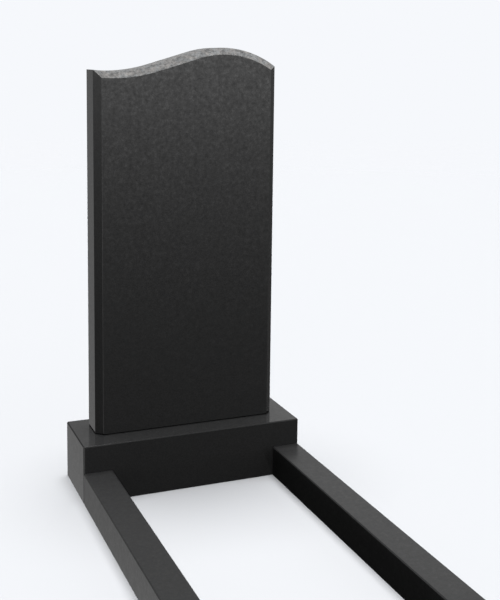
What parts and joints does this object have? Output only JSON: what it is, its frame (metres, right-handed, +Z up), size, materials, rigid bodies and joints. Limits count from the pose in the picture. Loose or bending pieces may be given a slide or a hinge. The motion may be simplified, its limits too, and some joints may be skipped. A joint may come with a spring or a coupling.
{
  "type": "headstone",
  "caption": "Upright polished black stone with a wavy top and a bevelled front edge, on a plinth, with a kerb border round the plot in front.",
  "frame": {"origin": "on the ground, at the centre of the underside of the whole set's bounding box", "axes": "+Z up; +X across the set, to the right of a person facing it; -Y is the front, where the stele's face looks and the kerbs run; +Y is the back"},
  "size_m": [0.6, 1.2, 1.1625],
  "materials": {
    "stele_stone": "polished black stone with a fine grey speckle; the top edge and the bevel below it are ground matt and light grey",
    "border_stone": "polished black stone with a fine grey speckle"
  },
  "bodies": {
    "root": {"stele": "stele_stone", "plinth": "border_stone", "kerb_left": "border_stone", "kerb_right": "border_stone", "kerb_foot": "border_stone"}
  },
  "joints": []
}
